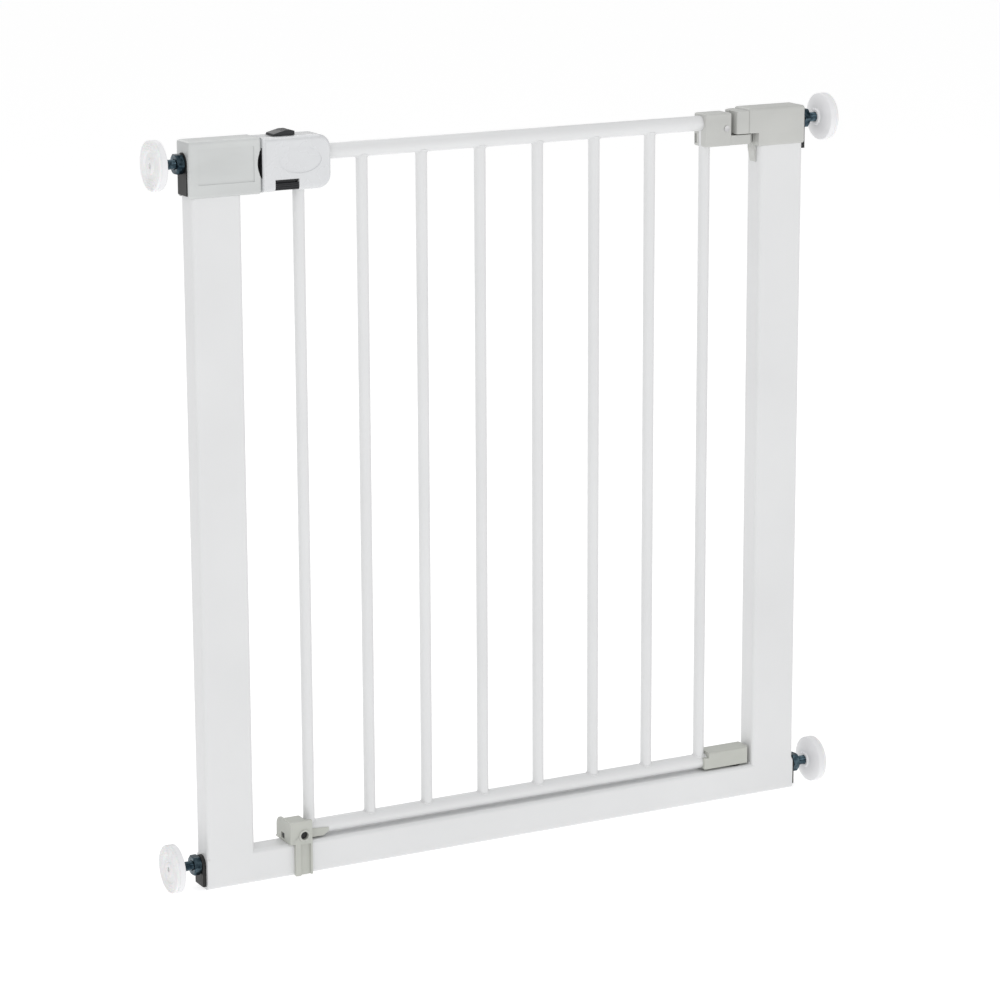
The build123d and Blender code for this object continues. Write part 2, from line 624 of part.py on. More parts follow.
def spindle_nut(z):
    hexagon = Plane.YZ.offset(NUT_X[0]) * RegularPolygon(NUT_FLATS / 2, 6, major_radius=False)
    nut = Pos(0, 0, z) * extrude(hexagon, amount=NUT_X[1] - NUT_X[0])
    crown = NUT_FLATS / 2 + 0.3
    reach = NUT_X[1] - NUT_X[0]
    dome = turned(((NUT_X[0], 0), (NUT_X[0], crown + reach), (NUT_X[1], crown), (NUT_X[1], 0)), z)
    return (nut & dome) - rod_x((NUT_X[0] - 1, NUT_X[1] + 1), 0, z, SPINDLE_RADIUS + RUNNING)


def pad_face(z):
    inner = WALL_FACE - PAD_RUBBER
    points = (
        (WALL_FACE, PAD_HOLE_RADIUS),
        (WALL_FACE, PAD_RADIUS - 1.5),
        (WALL_FACE - 1.5, PAD_RADIUS),
        (inner, PAD_RADIUS),
        (inner, PAD_HOLE_RADIUS),
    )
    return turned(points, z)


def pad_cup(z):
    face = WALL_FACE - PAD_RUBBER
    points = (
        (face, PAD_HOLE_RADIUS),
        (face, PAD_RADIUS),
        (WALL_FACE - PAD_RIM, PAD_RADIUS),
        (WALL_FACE - PAD_RIM - 1.5, PAD_RADIUS - 1.5),
        (WALL_FACE - PAD_LENGTH, HUB_RADIUS),
        (WALL_FACE - PAD_LENGTH, SPINDLE_RADIUS + GAP / 2),
        (SPINDLE_OUTER, SPINDLE_RADIUS + GAP / 2),
        (SPINDLE_OUTER, PAD_HOLE_RADIUS),
    )
    return turned(points, z)


def spindle_bush(z, radius, low, half_depth):
    """Flanged bush in the frame's outer wall, which the spindle slides through."""
    x = (HALF_WIDTH + GAP / 2, BUSH_FLANGE_X)
    barrel = rod_x((BUSH_INNER_X, x[1]), 0, z, radius)
    guide = rod_x((0, BUSH_FLANGE_X + 1), 0, z, SPINDLE_RADIUS + SLIP)
    return flange_solid(x, z, low, half_depth) + barrel - guide


def save_pair(name, body):
    """Write a right-hand piece and its mirror image on the left."""
    save(name.format("right"), body)
    save(name.format("left"), mirrored(body))


def main():
    os.makedirs("parts", exist_ok=True)
    save("bottom_rail", bottom_rail())
    save_pair("{}_post", right_post())
    save("catch_housing_front", catch_shell(front_half, -1))
    save("catch_housing_back", catch_shell(back_half, 1))
    save("catch_keeper", catch_keeper())
    save("catch_screws", screw_set(CATCH_SCREWS, CATCH_HALF_DEPTH))
    save("hinge_housing_front", housing_shell(front_half, -1))
    save("hinge_housing_back", housing_shell(back_half, 1))
    save("hinge_block", hinge_block())
    save("hinge_housing_screws", screw_set(HOUSING_SCREWS, HOUSING_HALF_DEPTH))
    save("bottom_stop", bottom_stop())
    save("stop_screw", stop_screw())
    save("lower_hinge_bush", lower_bush())

    save("door_top_rail", door_rail(TOP_RAIL_X, TOP_RAIL_Z))
    save("door_bottom_rail", door_rail(LOW_RAIL_X, LOW_RAIL_Z))
    for index in range(BAR_COUNT):
        save(f"bar_{index + 1}", bar(index))
    save("handle_front", handle_front())
    save("handle_back", handle_shell(back_half, 1))
    save("handle_screws", screw_set(HANDLE_SCREWS, HANDLE_HALF_DEPTH))
    save("bolt_guide", bolt_guide())
    save("detent_spring", detent_spring())
    save("trigger_spring", trigger_spring())
    save("upper_hinge_bracket", upper_bracket())
    save("bracket_rivet", bracket_rivet())
    save("upper_hinge_pin", upper_pin())
    save("lower_hinge_bracket", lower_bracket())
    save("lower_hinge_pin", lower_pin())
    save("door_foot", door_foot())

    save("lock_slider", lock_slider())
    save("lock_bolt", lock_bolt())
    save("trigger", trigger())

    for level, z in (("top", TOP_SPINDLE_Z), ("bottom", LOW_SPINDLE_Z)):
        save_pair("spindle_rod_" + level + "_{}", spindle_rod(z))
        save_pair("spindle_nut_" + level + "_{}", spindle_nut(z))
        save_pair("pad_cup_" + level + "_{}", pad_cup(z))
        save_pair("pad_face_" + level + "_{}", pad_face(z))
    top_bush = spindle_bush(TOP_SPINDLE_Z, TOP_BUSH_RADIUS, TOP_FLANGE_LOW, TOP_FLANGE_HALF_DEPTH)
    low_bush = spindle_bush(LOW_SPINDLE_Z, LOW_BUSH_RADIUS, LOW_FLANGE_LOW, LOW_FLANGE_HALF_DEPTH)
    save_pair("spindle_bush_top_{}", top_bush)
    save_pair("spindle_bush_bottom_{}", low_bush)


main()
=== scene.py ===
"""Looks of a pressure-mounted safety gate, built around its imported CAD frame. Metres, +Z up."""
import json
import math

import bmesh
import bpy
from mathutils import Matrix, Vector


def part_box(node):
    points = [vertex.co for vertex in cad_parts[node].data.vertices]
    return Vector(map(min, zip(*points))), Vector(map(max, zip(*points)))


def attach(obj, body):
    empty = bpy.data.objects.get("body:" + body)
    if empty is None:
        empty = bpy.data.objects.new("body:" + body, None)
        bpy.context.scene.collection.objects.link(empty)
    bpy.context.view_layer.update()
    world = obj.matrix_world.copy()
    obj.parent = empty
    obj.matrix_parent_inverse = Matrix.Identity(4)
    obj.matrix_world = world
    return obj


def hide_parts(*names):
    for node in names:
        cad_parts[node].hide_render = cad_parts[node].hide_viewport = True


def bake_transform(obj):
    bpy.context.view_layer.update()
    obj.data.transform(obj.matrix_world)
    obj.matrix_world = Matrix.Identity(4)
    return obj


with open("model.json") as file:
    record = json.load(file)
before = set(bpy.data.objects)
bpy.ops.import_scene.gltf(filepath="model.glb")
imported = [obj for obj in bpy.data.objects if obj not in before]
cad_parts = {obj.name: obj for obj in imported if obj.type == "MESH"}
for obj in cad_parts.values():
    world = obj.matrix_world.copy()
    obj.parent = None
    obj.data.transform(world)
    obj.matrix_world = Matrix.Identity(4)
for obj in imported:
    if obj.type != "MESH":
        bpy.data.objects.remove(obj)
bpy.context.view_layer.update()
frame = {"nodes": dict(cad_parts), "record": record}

MM = 0.001
SIDES = {"left": -1, "right": 1}
CORNERS = [(level, side) for level in ("top", "bottom") for side in SIDES]


# ---------------------------------------------------------------- materials
class Nodes:
    """Short names for building a material's node tree."""

    def __init__(self, name):
        self.material = bpy.data.materials.new(name)
        self.material.use_nodes = True
        self.tree = self.material.node_tree
        self.shader = self.tree.nodes["Principled BSDF"]
        self.place = self.tree.nodes.new("ShaderNodeTexCoord").outputs["Object"]
        self.normal = None

    def set(self, **values):
        """Constants on the shader's own sockets; underscores in the names stand for spaces."""
        for key, value in values.items():
            self.shader.inputs[key.replace("_", " ")].default_value = value

    def link(self, source, target):
        self.tree.links.new(source, target)

    def noise(self, scale, detail=2.0, roughness=0.5, stretch=(1, 1, 1)):
        """Noise value at a scale in features per metre."""
        spread = self.tree.nodes.new("ShaderNodeMapping")
        spread.inputs["Scale"].default_value = stretch
        self.link(self.place, spread.inputs["Vector"])
        node = self.tree.nodes.new("ShaderNodeTexNoise")
        node.inputs["Scale"].default_value = scale
        node.inputs["Detail"].default_value = detail
        node.inputs["Roughness"].default_value = roughness
        self.link(spread.outputs["Vector"], node.inputs["Vector"])
        return node.outputs["Fac"]

    def cells(self, scale):
        node = self.tree.nodes.new("ShaderNodeTexVoronoi")
        node.inputs["Scale"].default_value = scale
        self.link(self.place, node.inputs["Vector"])
        return node.outputs["Distance"]

    def ramp(self, value, low, high, near=0.3, far=0.7):
        """Colour ramp from low to high between two positions."""
        node = self.tree.nodes.new("ShaderNodeValToRGB")
        for element, place, colour in zip(node.color_ramp.elements, (near, far), (low, high)):
            element.position = place
            element.color = (*colour, 1)
        self.link(value, node.inputs["Fac"])
        return node.outputs["Color"]

    def spread(self, value, low, high):
        """A 0 to 1 value brought to a range."""
        node = self.tree.nodes.new("ShaderNodeMapRange")
        node.inputs["To Min"].default_value = low
        node.inputs["To Max"].default_value = high
        self.link(value, node.inputs["Value"])
        return node.outputs["Result"]

    def mix(self, fac, a, b, blend="MIX"):
        node = self.tree.nodes.new("ShaderNodeMix")
        node.data_type = "RGBA"
        node.blend_type = blend
        for socket, source in zip((node.inputs[0], node.inputs[6], node.inputs[7]), (fac, a, b)):
            if hasattr(source, "links"):
                self.link(source, socket)
            else:
                socket.default_value = source
        return node.outputs[2]

    def bump(self, value, strength, distance):
        """Adds one layer of relief; distance in metres."""
        node = self.tree.nodes.new("ShaderNodeBump")
        node.inputs["Strength"].default_value = strength
        node.inputs["Distance"].default_value = distance
        self.link(value, node.inputs["Height"])
        if self.normal:
            self.link(self.normal, node.inputs["Normal"])
        self.normal = node.outputs["Normal"]
        self.link(self.normal, self.shader.inputs["Normal"])


def shaded(colour, factor):
    return tuple(min(1.0, c * factor) for c in colour)


def powder_coat():
    """White stoved powder: fine orange peel under a soft gloss."""
    look = Nodes("white_powder_coat")
    base = (0.75, 0.755, 0.76)
    look.set(IOR=1.5, Coat_Weight=0.25, Coat_Roughness=0.12)
    tint = look.ramp(look.noise(7.0, 3.0), shaded(base, 0.975), shaded(base, 1.02))
    look.link(tint, look.shader.inputs["Base Color"])
    look.link(look.spread(look.noise(160.0, 2.0), 0.28, 0.4), look.shader.inputs["Roughness"])
    look.bump(look.noise(650.0, 2.0), 0.22, 0.00012)
    look.bump(look.noise(2600.0, 1.0), 0.12, 0.00004)
    return look.material


def moulded(name, base, rough, coat=0.0, grain=3800.0, depth=0.00003, strength=0.25):
    """Injection-moulded plastic with a spark-eroded grain and faint flow shading."""
    look = Nodes(name)
    look.set(IOR=1.49, Coat_Weight=coat, Coat_Roughness=0.15)
    flow = look.noise(14.0, 3.0, stretch=(1, 1, 2.5))
    look.link(look.ramp(flow, shaded(base, 0.95), shaded(base, 1.04)), look.shader.inputs["Base Color"])
    look.link(look.spread(look.noise(90.0, 3.0), rough - 0.05, rough + 0.06), look.shader.inputs["Roughness"])
    look.bump(look.noise(grain, 2.0, 0.6), strength, depth)
    look.bump(look.cells(grain * 0.4), strength * 0.5, depth)
    return look.material


def pearl_handle():
    """Silver-grey pearl plastic: tiny bright flakes under a gloss skin."""
    look = Nodes("pearl_grey_plastic")
    base = (0.70, 0.71, 0.725)
    look.set(IOR=1.5, Metallic=0.1, Coat_Weight=0.45, Coat_Roughness=0.1)
    cloud = look.ramp(look.noise(18.0, 3.0), shaded(base, 0.96), shaded(base, 1.04))
    flake = look.ramp(look.cells(2600.0), shaded(base, 1.25), shaded(base, 0.98), 0.0, 0.35)
    colour = look.mix(0.35, cloud, flake)
    look.link(colour, look.shader.inputs["Base Color"])
    look.link(look.spread(look.noise(60.0), 0.22, 0.32), look.shader.inputs["Roughness"])
    look.bump(look.noise(420.0, 1.0), 0.1, 0.00006)
    return look.material


def zinc(name, dark, light, rough):
    """Plated steel: a thin passivation film whose tint drifts between two colours."""
    look = Nodes(name)
    look.set(Metallic=1.0)
    film = look.ramp(look.noise(170.0, 4.0, 0.6), dark, light, 0.35, 0.68)
    look.link(film, look.shader.inputs["Base Color"])
    haze = look.spread(look.noise(500.0, 3.0), rough - 0.08, rough + 0.12)
    look.link(haze, look.shader.inputs["Roughness"])
    look.bump(look.noise(3000.0, 2.0, stretch=(1, 6, 6)), 0.2, 0.00002)
    return look.material


def soft_rubber():
    look = Nodes("white_rubber")
    base = (0.86, 0.86, 0.865)
    look.set(IOR=1.45, Sheen_Weight=0.12, Subsurface_Weight=0.08, Subsurface_Scale=0.002)
    tint = look.ramp(look.noise(60.0, 4.0), shaded(base, 0.95), shaded(base, 1.03))
    look.link(tint, look.shader.inputs["Base Color"])
    look.link(look.spread(look.noise(300.0, 3.0), 0.5, 0.68), look.shader.inputs["Roughness"])
    look.bump(look.noise(1500.0, 3.0), 0.3, 0.00005)
    return look.material


LOOKS = {
    "powder_coat": powder_coat(),
    "catch_plastic": moulded("light_grey_plastic", (0.60, 0.615, 0.61), 0.32, coat=0.3),
    "handle_plastic": pearl_handle(),
    "hinge_plastic": moulded("hinge_grey_plastic", (0.545, 0.55, 0.53), 0.45),
    "stop_plastic": moulded("warm_grey_plastic", (0.515, 0.525, 0.485), 0.46),
    "dark_plastic": moulded("charcoal_plastic", (0.014, 0.015, 0.018), 0.40, strength=0.4),
    "bush_plastic": moulded("black_nylon", (0.009, 0.009, 0.009), 0.5, strength=0.4),
    "screw_steel": zinc("bright_zinc", (0.42, 0.42, 0.43), (0.6, 0.6, 0.6), 0.3),
    "spring_steel": zinc("drawn_wire", (0.35, 0.35, 0.36), (0.55, 0.55, 0.55), 0.25),
    "zinc_steel": zinc("blue_zinc", (0.014, 0.028, 0.04), (0.1, 0.15, 0.18), 0.15),
    "pad_plastic": moulded("white_plastic", (0.84, 0.84, 0.855), 0.38, coat=0.1),
    "pad_rubber": soft_rubber(),
}


# ---------------------------------------------------------------- mesh helpers
def piece(name, points, faces, body, look, smooth_below=35):
    """New visible piece that rides on a CAD body, if one is given, and takes a slot's material."""
    mesh = bpy.data.meshes.new(name)
    mesh.from_pydata(points, [], faces)
    tidy = bmesh.new()
    tidy.from_mesh(mesh)
    bmesh.ops.remove_doubles(tidy, verts=tidy.verts, dist=1e-6)
    bmesh.ops.dissolve_degenerate(tidy, edges=tidy.edges, dist=1e-7)
    bmesh.ops.recalc_face_normals(tidy, faces=tidy.faces)
    tidy.to_mesh(mesh)
    tidy.free()
    obj = bpy.data.objects.new(name, mesh)
    bpy.context.scene.collection.objects.link(obj)
    mesh.materials.append(LOOKS[look])
    mesh.shade_smooth()
    mesh.set_sharp_from_angle(angle=math.radians(smooth_below))
    if body:
        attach(obj, body)
    return obj


def ring_faces(rows, segments, closed_rows):
    """Quads between rings of points, the last ring joined to the first where closed."""
    faces = []
    for row in range(rows if closed_rows else rows - 1):
        near, far = row * segments, (row + 1) % rows * segments
        for step in range(segments):
            after = (step + 1) % segments
            faces.append((near + step, near + after, far + after, far + step))
    return faces


def end_faces(rows, segments):
    """Caps on the first and last ring of an open tube."""
    return [tuple(range(segments)), tuple(range((rows - 1) * segments, rows * segments))]


def turned(rows, segments=72):
    """Points and faces turned about the X axis from a closed outline of (x, radius).

    A radius is a number, or a function of the angle for a shape that isn't round.
    """
    points = []
    for x, radius in rows:
        for step in range(segments):
            angle = 2 * math.pi * step / segments
            reach = radius(angle) if callable(radius) else radius
            points.append((x, reach * math.cos(angle), reach * math.sin(angle)))
    return points, ring_faces(len(rows), segments, True)


def arc(centre_x, centre_r, radius, start, end, steps=5):
    """Outline points on a round edge; angles in degrees from +X towards larger radius."""
    points = []
    for step in range(steps + 1):
        angle = math.radians(start + (end - start) * step / steps)
        points.append((centre_x + radius * math.cos(angle), centre_r + radius * math.sin(angle)))
    return points


def prism(outline, x):
    """Solid with an outline of (y, z) points between two x limits."""
    count = len(outline)
    points = [(end, y, z) for end in x for y, z in outline]
    sides = [(k, (k + 1) % count, count + (k + 1) % count, count + k) for k in range(count)]
    return points, sides + [tuple(range(count)), tuple(range(count, 2 * count))]


def joined(*solids):
    """Several (points, faces) solids as one."""
    points, faces = [], []
    for more_points, more_faces in solids:
        offset = len(points)
        points += more_points
        faces += [tuple(k + offset for k in face) for face in more_faces]
    return points, faces


def soften(obj, width=0.35 * MM, limit=40, segments=2):
    """Small moulded radius on crisp edges, by modifiers only."""
    weld = obj.modifiers.new("join", "WELD")
    weld.merge_threshold = 1e-6
    bevel = obj.modifiers.new("edge", "BEVEL")
    bevel.width = width
    bevel.segments = segments
    bevel.limit_method = "ANGLE"
    bevel.angle_limit = math.radians(limit)
    bevel.use_clamp_overlap = True
    obj.modifiers.new("shade", "WEIGHTED_NORMAL").keep_sharp = True


# ---------------------------------------------------------------- wall spindles
THREAD_PITCH = 1.5 * MM
THREAD_DEPTH = 0.92 * MM
THREAD_CHAMFER = 1.0 * MM
THREAD_PROFILE = ((0.0, 0.0), (0.12, 0.0), (0.5, 1.0), (0.62, 1.0))  # share of a pitch, share of the depth
NUT_CHAMFER_START = 0.97   # of the half width across flats
PAD_DISH = 1.4 * MM
PAD_HOLE = 2.8 * MM
CUP_HUB = 10.5 * MM
CUP_COLLAR = 8.2 * MM
CUP_SOCKET = 8.0 * MM      # depth that the spindle sits in the cup
CUP_LIP = 1.2 * MM
CUP_RIM = 6.2 * MM         # height of the cup's straight rim
CUP_SWELL = 0.45 * MM      # how far the conical back bulges
CUP_SLOPE_STEPS = 8
FACE_RING = 7.2 * MM       # raised ring round the hole
FACE_BAND = 15.0 * MM      # inner edge of the outer band
FACE_EDGE = 1.4 * MM
GROOVE = 0.7 * MM
GROOVE_DEPTH = 0.35 * MM
GROOVE_START = 2.6 * MM
GROOVE_STEP = 2.4 * MM


def on_spindle(points, level, side):
    """Points drawn about the X axis, turned half round for the left side and lifted to the spindle."""
    low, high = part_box(f"spindle_rod_{level}_{side}")
    z = (low[2] + high[2]) / 2
    sign = SIDES[side]
    return [(sign * x, sign * y, z + up) for x, y, up in points]


def reach_x(node):
    """A node's limits along X, measured outwards from the middle."""
    low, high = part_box(node)
    return sorted((abs(low[0]), abs(high[0])))


def radius_of(node):
    low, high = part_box(node)
    return (high[2] - low[2]) / 2


def thread_radius(x, share, start, end, radius):
    """Thread profile that fades into a chamfer and then a flat end."""
    inside = min(x - start, end - x)
    core = radius - THREAD_CHAMFER
    if inside < 0:
        return max(0.0, core * (1 + inside / (2 * THREAD_PITCH)))
    return min(radius - share * THREAD_DEPTH, core + inside)


def threaded_rod(level, side, segments=32):
    """Spindle with a right-handed thread, whose rows climb one pitch in each turn."""
    node = f"spindle_rod_{level}_{side}"
    start, end = reach_x(node)
    radius = radius_of(node)
    run_in = 3
    turns = math.ceil((end - start) / THREAD_PITCH) + 2 * run_in
    per_turn = len(THREAD_PROFILE)
    points, faces = [], []
    for row in range(turns * per_turn):
        place, share = THREAD_PROFILE[row % per_turn]
        for step in range(segments):
            x = start + (row // per_turn + place + step / segments - run_in) * THREAD_PITCH
            reach = thread_radius(x, share, start, end, radius)
            angle = 2 * math.pi * step / segments
            x = min(max(x, start), end)
            points.append((x, reach * math.cos(angle), reach * math.sin(angle)))
    for row in range((turns - 1) * per_turn - 1):
        for step in range(segments):
            near = row * segments + step
            after = near + 1 if step < segments - 1 else (row + per_turn) * segments
            faces.append((near, after, after + segments, near + segments))
    obj = piece(f"threaded_rod_{level}_{side}", on_spindle(points, level, side), faces,
                f"spindle_{level}_{side}", "zinc_steel", 60)
    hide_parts(node)


def hex_nut(level, side):
    """Hexagon nut, chamfered on both faces, with a countersunk bore."""
    node = f"spindle_nut_{level}_{side}"
    start, end = reach_x(node)
    flat = radius_of(node)
    corner = flat / math.cos(math.radians(30))
    bore = radius_of(f"spindle_rod_{level}_{side}") + 0.06 * MM
    narrow = flat * NUT_CHAMFER_START
    depth = (corner - narrow) * math.tan(math.radians(30))

    def cut_hexagon(limit):
        return lambda angle: min(flat / math.cos(angle % math.radians(60) - math.radians(30)), limit)

    edge = [(depth * step / 5, cut_hexagon(narrow + (corner - narrow) * step / 5)) for step in range(6)]
    sink = 0.7 * MM
    outline = [(start + sink, bore), (start, bore + sink)]
    outline += [(start + x, radius) for x, radius in edge]
    outline += [(end - x, radius) for x, radius in reversed(edge)]
    outline += [(end, bore + sink), (end - sink, bore)]
    points, faces = turned(outline, 96)
    obj = piece(f"hex_nut_{level}_{side}", on_spindle(points, level, side), faces,
                f"nut_{level}_{side}", "zinc_steel", 25)
    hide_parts(node)


def pad_cup(level, side):
    """Cone-backed plastic cup with a collar round the spindle."""
    node = f"pad_cup_{level}_{side}"
    start, end = reach_x(node)
    rim = radius_of(node)
    shaft = radius_of(f"spindle_rod_{level}_{side}") + 0.05 * MM
    shoulder = end - CUP_RIM
    edge = 0.4 * MM
    outline = [(end, PAD_HOLE), (end, rim - edge), (end - edge, rim)]
    outline += arc(shoulder + CUP_LIP, rim - CUP_LIP, CUP_LIP, 90, 150)
    first_x, first_r = outline[-1]
    last_x, last_r = start + 1.5 * MM, CUP_HUB + 1.0 * MM
    for step in range(1, CUP_SLOPE_STEPS + 1):
        share = step / CUP_SLOPE_STEPS
        swell = CUP_SWELL * math.sin(math.pi * share)
        outline.append((first_x + (last_x - first_x) * share - swell,
                        first_r + (last_r - first_r) * share + swell))
    inner_round, outer_round, sink = 0.5 * MM, 0.6 * MM, 0.5 * MM
    outline += arc(start + 1.6 * MM, CUP_COLLAR + inner_round, inner_round, 90, 180, 3)
    outline += arc(start + outer_round, CUP_COLLAR - outer_round, outer_round, 90, 180, 4)
    outline += [(start, shaft + sink), (start + sink, shaft)]
    outline += [(start + CUP_SOCKET, shaft), (start + CUP_SOCKET, PAD_HOLE)]
    points, faces = turned(outline, 96)
    obj = piece(f"cone_cup_{level}_{side}", on_spindle(points, level, side), faces,
                f"spindle_{level}_{side}", "pad_plastic", 30)
    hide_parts(node)


def pad_face(level, side):
    """Rubber wall face: a grooved outer band, a shallow dish and a raised ring round the hole."""
    node = f"pad_face_{level}_{side}"
    start, end = reach_x(node)
    rim = radius_of(node)
    floor_x = end - PAD_DISH
    eased = end - 0.15 * MM
    slope = 1.2 * MM
    chamfer = 0.5 * MM
    outline = [(start, PAD_HOLE), (start, rim - chamfer), (start + chamfer, rim)]
    outline += arc(end - FACE_EDGE, rim - FACE_EDGE, FACE_EDGE, 90, 0)
    for step in range(3):
        outer = rim - GROOVE_START - GROOVE_STEP * step
        for share, depth in ((0, 0), (0.3, GROOVE_DEPTH), (0.7, GROOVE_DEPTH), (1, 0)):
            outline.append((end - depth, outer - share * GROOVE))
    outline += [(end, FACE_BAND + 0.5 * MM), (eased, FACE_BAND + 0.2 * MM), (floor_x, FACE_BAND - slope)]
    outline += [(floor_x, FACE_RING + slope), (eased, FACE_RING), (end, FACE_RING - 0.4 * MM)]
    outline += [(end, PAD_HOLE + 0.9 * MM), (end - 0.25 * MM, PAD_HOLE + 0.3 * MM)]
    outline.append((end - 0.8 * MM, PAD_HOLE))
    points, faces = turned(outline, 96)
    obj = piece(f"rubber_face_{level}_{side}", on_spindle(points, level, side), faces,
                f"spindle_{level}_{side}", "pad_rubber", 30)
    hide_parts(node)


for level, side in CORNERS:
    threaded_rod(level, side)
    hex_nut(level, side)
    pad_cup(level, side)
    pad_face(level, side)


# ---------------------------------------------------------------- welds
BEAD_RADIUS = 1.0 * MM


def bead(name, path, body, closed):
    """Rippled weld bead along points that each carry an outward direction."""
    segments = 8
    points = []
    count = len(path)
    for step, (centre, outward) in enumerate(path):
        ahead = path[(step + 1) % count if closed else min(step + 1, count - 1)][0]
        behind = path[step - 1 if closed else max(step - 1, 0)][0]
        along = (ahead - behind).normalized()
        across = along.cross(outward).normalized()
        ripple = 1 + 0.14 * math.sin(step * 1.9) + 0.07 * math.sin(step * 0.83 + 1)
        if not closed and step in (0, count - 1):
            ripple = 0.25
        for turn in range(segments):
            angle = 2 * math.pi * turn / segments
            offset = outward * math.cos(angle) + across * math.sin(angle)
            points.append(tuple(centre + offset * BEAD_RADIUS * ripple))
    faces = ring_faces(count, segments, closed)
    if not closed:
        faces += end_faces(count, segments)
    return piece(name, points, faces, body, "powder_coat", 60)


def bar_weld(number, rail, up):
    """Bead round the saddle where a bar stands on a round rail."""
    low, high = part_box(rail)
    rail_z, rail_radius = (low[2] + high[2]) / 2, (high[2] - low[2]) / 2
    low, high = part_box(f"bar_{number}")
    x, radius = (low[0] + high[0]) / 2, (high[0] - low[0]) / 2
    path = []
    for step in range(44):
        angle = 2 * math.pi * step / 44
        outward = Vector((math.cos(angle), math.sin(angle), 0))
        y = radius * outward.y
        z = rail_z + up * math.sqrt(rail_radius ** 2 - y ** 2)
        path.append((Vector((x + radius * outward.x, y, z)), outward))
    bead(f"weld_{rail}_{number}", path, "door", True)


def post_weld(side):
    """Short bead across the inner corner of a post and the bottom rail."""
    low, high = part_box(f"{side}_post")
    inner = low[0] if side == "right" else high[0]
    rail_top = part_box("bottom_rail")[1][2]
    half = high[1] - 4.5 * MM
    outward = Vector((-SIDES[side], 0, 1)).normalized()
    path = []
    for step in range(15):
        y = half * (2 * step / 14 - 1)
        path.append((Vector((inner, y, rail_top)), outward))
    bead(f"weld_{side}_post", path, "frame", False)


for number in range(1, 9):
    bar_weld(number, "door_bottom_rail", 1)
for number in range(2, 8):
    bar_weld(number, "door_top_rail", -1)
for side in SIDES:
    post_weld(side)


# ---------------------------------------------------------------- trigger
GRIP_HEIGHT = 7.3 * MM
GRIP_ROUND = 1.2 * MM
GRIP_GROOVE_DEPTH = 0.55 * MM
GRIP_GROOVE_START = 1.5 * MM
GRIP_GROOVE_STEP = 1.9 * MM
STEM_INSET = 2.0 * MM


def trigger_grip():
    """Push trigger with three finger grooves across its face, on the stem that bears on the spring."""
    low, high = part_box("trigger")
    face_top = low[2] + GRIP_HEIGHT
    front, back = low[1], high[1]
    eased, drop = front + 0.3 * MM, 0.4 * MM
    outline = [(back, low[2]), (front + GRIP_ROUND, low[2]), (eased, low[2] + drop)]
    for step in range(3):
        z = low[2] + GRIP_GROOVE_START + GRIP_GROOVE_STEP * step
        for up, depth in ((-0.25, 0), (0, GRIP_GROOVE_DEPTH), (0.5, GRIP_GROOVE_DEPTH), (0.75, 0)):
            outline.append((front + depth, z + up * MM))
    outline += [(eased, face_top - drop), (front + GRIP_ROUND, face_top), (back, face_top)]
    near, far = front + 3.5 * MM, back - 1.0 * MM
    bottom, top = low[2] + 4.0 * MM, high[2]
    face = prism(outline, (low[0], high[0]))
    stem_outline = [(near, bottom), (far, bottom), (far, top), (near, top)]
    stem = prism(stem_outline, (low[0] + STEM_INSET, high[0] - STEM_INSET))
    points, faces = joined(face, stem)
    obj = piece("trigger_grip", points, faces, "trigger", "dark_plastic", 30)
    soften(obj, 0.25 * MM, 50)
    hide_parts("trigger")


SPRING_WIRE = 0.35 * MM
SPRING_TURNS = 5.5
SPRING_FLAT_TURNS = 0.5
SPRING_STEPS = 24          # points in one turn
WIRE_SIDES = 8


def return_spring():
    """Coil with flat end turns between the trigger's stem and its seat."""
    low, high = (Vector(corner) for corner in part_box("trigger_spring"))
    centre = (low + high) / 2
    coil = (high.x - low.x) / 2 - SPRING_WIRE
    bottom, top = low.z + SPRING_WIRE, high.z - SPRING_WIRE
    upward = Vector((0, 0, 1))
    count = int(SPRING_TURNS * SPRING_STEPS) + 1
    points = []
    for step in range(count):
        turn = step / SPRING_STEPS
        climb = (turn - SPRING_FLAT_TURNS) / (SPRING_TURNS - 2 * SPRING_FLAT_TURNS)
        climb = min(max(climb, 0.0), 1.0)
        angle = 2 * math.pi * turn
        outward = Vector((math.cos(angle), math.sin(angle), 0))
        middle = Vector((centre.x, centre.y, bottom + (top - bottom) * climb)) + outward * coil
        for corner in range(WIRE_SIDES):
            tilt = 2 * math.pi * corner / WIRE_SIDES
            offset = outward * math.cos(tilt) + upward * math.sin(tilt)
            points.append(tuple(middle + offset * SPRING_WIRE))
    faces = ring_faces(count, WIRE_SIDES, False) + end_faces(count, WIRE_SIDES)
    obj = piece("return_spring", points, faces, None, "spring_steel", 60)
    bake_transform(obj)
    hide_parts("trigger_spring")


trigger_grip()
return_spring()


# ---------------------------------------------------------------- stop
def shade_plug(name, place, facing, radius, depth):
    """Black nylon plug with a chamfered face, set into a recess of the stop as painted shade: it darkens the
    recess the way a deep hole's shade would; facing is X or Y.
    """
    edge = 0.4 * MM
    outline = [(0.0, 0.0), (0.0, radius - edge), (edge, radius), (depth, radius), (depth, 0.0)]
    points, faces = turned(outline, 32)
    if facing == "Y":
        points = [(across, along, up) for along, across, up in points]
    points = [tuple(a + b for a, b in zip(place, point)) for point in points]
    piece(name, points, faces, "frame", "bush_plastic", 40)


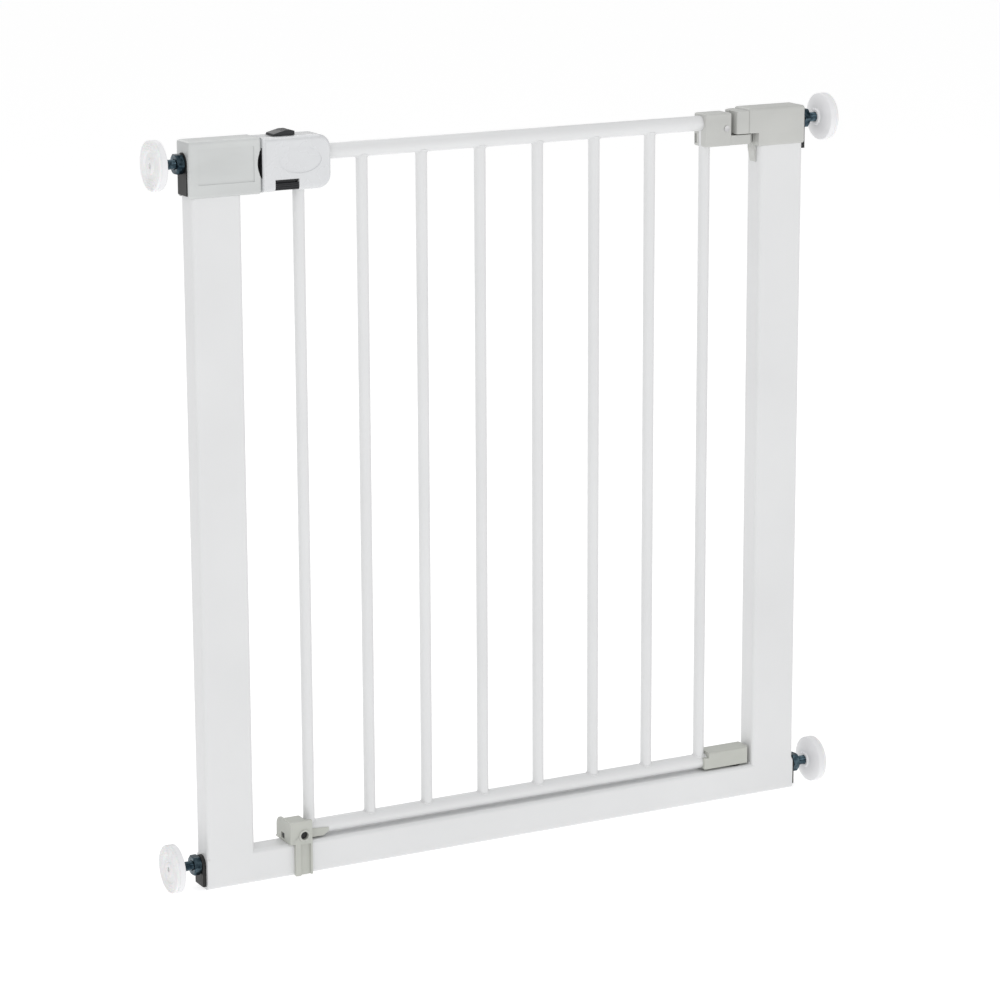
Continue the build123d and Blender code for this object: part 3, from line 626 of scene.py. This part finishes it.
def stop_shade_plugs():
    """Painted shade: black plugs behind the stop's ring and in the recess in its side, put there so the hole
    and the recess read dark.
    """
    low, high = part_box("bottom_stop")
    rail_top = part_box("bottom_rail")[1][2]
    side = (low[0] + 0.5 * MM, 1.0 * MM, rail_top + 6.0 * MM)
    # painted shade: a black disc in the side recess darkens it
    shade_plug("stop_side_shade_plug", side, "X", 2.9 * MM, 1.9 * MM)
    ring = (high[0] - 9.0 * MM, low[1] + 3.4 * MM, rail_top + 8.5 * MM)
    # painted shade: a black disc behind the ring's hole darkens it
    shade_plug("stop_ring_shade_plug", ring, "Y", 4.2 * MM, 1.4 * MM)


stop_shade_plugs()


# ---------------------------------------------------------------- CAD nodes
def dress_nodes():
    """Gives every CAD node the look of its material slot."""
    for part in frame["record"]["subparts"]:
        obj = frame["nodes"][part["node"]]
        obj.data.materials.clear()
        obj.data.materials.append(LOOKS[part["material_slot"]])


dress_nodes()

MOULDED = ["catch_housing_front", "catch_housing_back", "handle_front", "handle_back", "hinge_housing_front",
           "hinge_housing_back", "hinge_block", "upper_hinge_bracket", "lower_hinge_bracket", "bottom_stop",
           "door_foot", "lock_slider", "bolt_guide"]
MOULDED += [f"spindle_bush_{level}_{side}" for level, side in CORNERS]
for node in MOULDED:
    soften(frame["nodes"][node])


# ---------------------------------------------------------------- set, lights and camera
def floor():
    """Pale floor that glows enough to read as white paper."""
    mesh = bpy.data.meshes.new("floor")
    reach = 30.0
    corners = [(-reach, -reach, 0), (reach, -reach, 0), (reach, reach, 0), (-reach, reach, 0)]
    mesh.from_pydata(corners, [], [(0, 1, 2, 3)])
    obj = bpy.data.objects.new("floor", mesh)
    bpy.context.scene.collection.objects.link(obj)
    look = Nodes("pale_floor")
    look.set(Base_Color=(0.5, 0.5, 0.5, 1), Roughness=0.9)
    look.set(Emission_Color=(1, 1, 1, 1), Emission_Strength=0.72)
    mesh.materials.append(look.material)


def studio():
    """Even white surroundings, dimmer to the object than to the camera."""
    world = bpy.data.worlds.new("studio")
    bpy.context.scene.world = world
    world.use_nodes = True
    back = world.node_tree.nodes["Background"]
    back.inputs["Color"].default_value = (1, 1, 1, 1)
    back.inputs["Strength"].default_value = 0.5
    seen = world.node_tree.nodes.new("ShaderNodeBackground")
    seen.inputs["Color"].default_value = (1, 1, 1, 1)
    path = world.node_tree.nodes.new("ShaderNodeLightPath")
    mix = world.node_tree.nodes.new("ShaderNodeMixShader")
    link = world.node_tree.links.new
    link(path.outputs["Is Camera Ray"], mix.inputs["Fac"])
    link(back.outputs["Background"], mix.inputs[1])
    link(seen.outputs["Background"], mix.inputs[2])
    link(mix.outputs["Shader"], world.node_tree.nodes["World Output"].inputs["Surface"])


def softbox(name, place, target, size, power):
    """Rectangular area light that faces a target; power in watts."""
    data = bpy.data.lights.new(name, "AREA")
    data.shape = "RECTANGLE"
    data.size, data.size_y = size
    data.energy = power
    obj = bpy.data.objects.new(name, data)
    obj.location = place
    obj.rotation_mode = "QUATERNION"
    obj.rotation_quaternion = (Vector(target) - Vector(place)).to_track_quat("-Z", "Y")
    bpy.context.scene.collection.objects.link(obj)


CAMERA_PLACE = Vector((-1.689, -3.164, 1.226))
CAMERA_TURN = 28.0        # degrees to the right of straight ahead
CAMERA_TILT = 13.45       # degrees down
CAMERA_ROLL = -0.21
LENS = 126.9              # millimetres, as is the sensor's width
SENSOR = 36.0


def camera():
    data = bpy.data.cameras.new("camera")
    data.sensor_width = SENSOR
    data.lens = LENS
    data.clip_end = 100
    obj = bpy.data.objects.new("camera", data)
    turn, tilt = math.radians(CAMERA_TURN), math.radians(CAMERA_TILT)
    ahead = Vector((math.sin(turn) * math.cos(tilt), math.cos(turn) * math.cos(tilt), -math.sin(tilt)))
    look = ahead.to_track_quat("-Z", "Y").to_matrix().to_4x4()
    roll = Matrix.Rotation(math.radians(CAMERA_ROLL), 4, "Z")
    obj.matrix_world = Matrix.Translation(CAMERA_PLACE) @ look @ roll
    bpy.context.scene.collection.objects.link(obj)
    bpy.context.scene.camera = obj


floor()
studio()
middle = (0, 0, 0.4)
softbox("key", (-2.3, -3.2, 2.4), middle, (2.5, 2.5), 37)
softbox("fill", (2.6, -2.8, 1.4), middle, (2.5, 2.5), 10)
softbox("rim", (0.4, 3.0, 2.6), middle, (3.0, 2.0), 22)
softbox("overhead", (0, 0, 3.6), middle, (3.0, 3.0), 26)
camera()
bpy.context.scene.view_settings.view_transform = "Standard"
